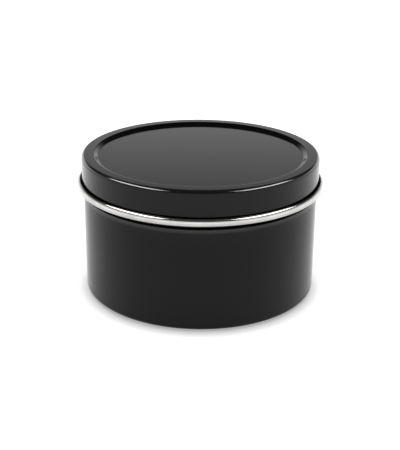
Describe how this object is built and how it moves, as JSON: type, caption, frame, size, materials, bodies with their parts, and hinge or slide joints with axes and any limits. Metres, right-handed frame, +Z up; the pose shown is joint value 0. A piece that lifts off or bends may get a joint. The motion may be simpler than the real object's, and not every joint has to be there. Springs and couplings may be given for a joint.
{
  "type": "rosin cake",
  "caption": "Bow rosin cake in a gathered cloth, kept in a round black slip-lid tin with rolled edges, a padded base and a lined lid.",
  "frame": {"origin": "centre of the tin's base, on the surface that it stands on", "axes": "+Z up along the tin's axis; the tin is round, so +X and +Y are any two square directions"},
  "size_m": [0.0728, 0.0728, 0.0414],
  "materials": {
    "black_lacquered_tinplate": "smooth black lacquer outside, satin to semi-gloss; bare silver tinplate inside and on the outside of the rolled edges",
    "black_foam": "matt fine-celled foam",
    "white_foam": "soft white closed-cell foam with a faint skin",
    "velvet": "short-pile velvet, dark wine red",
    "amber_rosin": "clear dark amber resin with a dusty rubbed top"
  },
  "bodies": {
    "tin": {"tin_body": "black_lacquered_tinplate", "base_pad": "black_foam"},
    "liner": {"lid_liner": "white_foam"},
    "lid": {"tin_lid": "black_lacquered_tinplate"},
    "cake": {"rosin_cake": "amber_rosin", "cloth_wrap": "velvet"}
  },
  "joints": [
    {"name": "lid_lift", "type": "slide", "parent": "tin", "child": "liner", "axis": [0, 0, 1], "range_m": [0, 0.09]},
    {"name": "lid_turn", "type": "hinge", "parent": "liner", "child": "lid", "pos_m": [0, 0, 0.035], "axis": [0, 0, 1], "continuous": true},
    {"name": "cake_lift", "type": "slide", "parent": "tin", "child": "cake", "axis": [0, 0, 1], "range_m": [0, 0.045]}
  ],
  "couplings": [
    {"joint": "cake_lift", "follows": "lid_lift", "ratio": 0.5}
  ]
}
